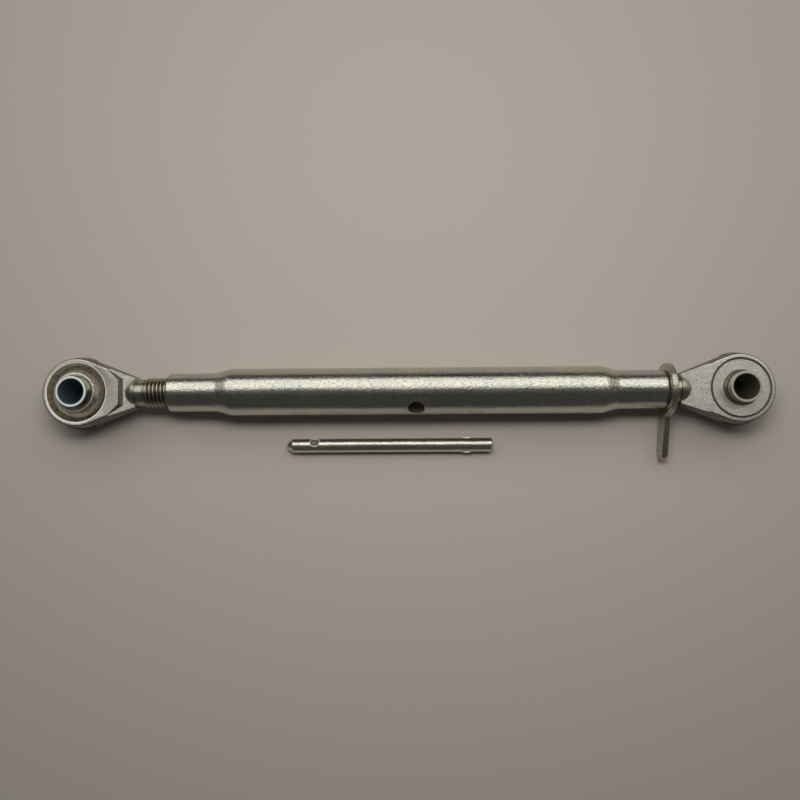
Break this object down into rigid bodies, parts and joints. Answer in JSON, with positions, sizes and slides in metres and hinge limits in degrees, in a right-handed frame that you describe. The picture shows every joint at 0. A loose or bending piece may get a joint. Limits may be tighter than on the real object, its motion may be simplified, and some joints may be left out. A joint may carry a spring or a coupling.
{
  "type": "tractor top link",
  "caption": "Adjustable top link: a threaded tube turned between two forged eyes with swivel balls, a lock nut with lever and a loose tommy bar.",
  "frame": {"origin": "centre of the left ball, on the axis of its bore", "axes": "+X from the left ball to the right ball along the link, +Z along the ball bores, up as the link lies"},
  "size_m": [0.5731, 0.0844, 0.044],
  "materials": {
    "zinc_tube": "bright zinc plate on drawn steel tube, faintly yellow",
    "forging": "tumbled, zinc-plated drop forging, matt",
    "ball_steel": "turned and plated steel, semi-bright",
    "zinc_plate": "zinc-plated steel plate, satin",
    "zinc_bar": "zinc-plated round bar, satin"
  },
  "bodies": {
    "right_eye": {"right_eye": "forging", "tommy_bar": "zinc_bar"},
    "lock_nut": {"lock_nut": "zinc_plate"},
    "barrel": {"barrel": "zinc_tube"},
    "left_eye": {"left_eye": "forging"},
    "left_ball": {"left_ball": "ball_steel"},
    "right_ball": {"right_ball": "ball_steel"}
  },
  "joints": [
    {"name": "barrel_turn", "type": "hinge", "parent": "lock_nut", "child": "barrel", "pos_m": [0.2661, 0, 0], "axis": [1, 0, 0], "range_deg": [-545.4, 10908]},
    {"name": "right_screw", "type": "slide", "parent": "right_eye", "child": "lock_nut", "axis": [-1, 0, 0], "range_m": [-0.00455, 0.0909]},
    {"name": "left_screw", "type": "slide", "parent": "right_eye", "child": "left_eye", "axis": [-1, 0, 0], "range_m": [-0.009, 0.18]},
    {"name": "left_ball_tilt", "type": "hinge", "parent": "left_eye", "child": "left_ball", "pos_m": [0, 0, 0], "axis": [0, 1, 0], "range_deg": [-22, 22]},
    {"name": "right_ball_tilt", "type": "hinge", "parent": "right_eye", "child": "right_ball", "pos_m": [0.5171, 0, 0], "axis": [0, 1, 0], "range_deg": [-8, 8]}
  ],
  "couplings": [
    {"joint": "barrel_turn", "follows": "left_screw", "rad_per_m": 1047.2},
    {"joint": "right_screw", "follows": "left_screw", "ratio": 0.5}
  ]
}
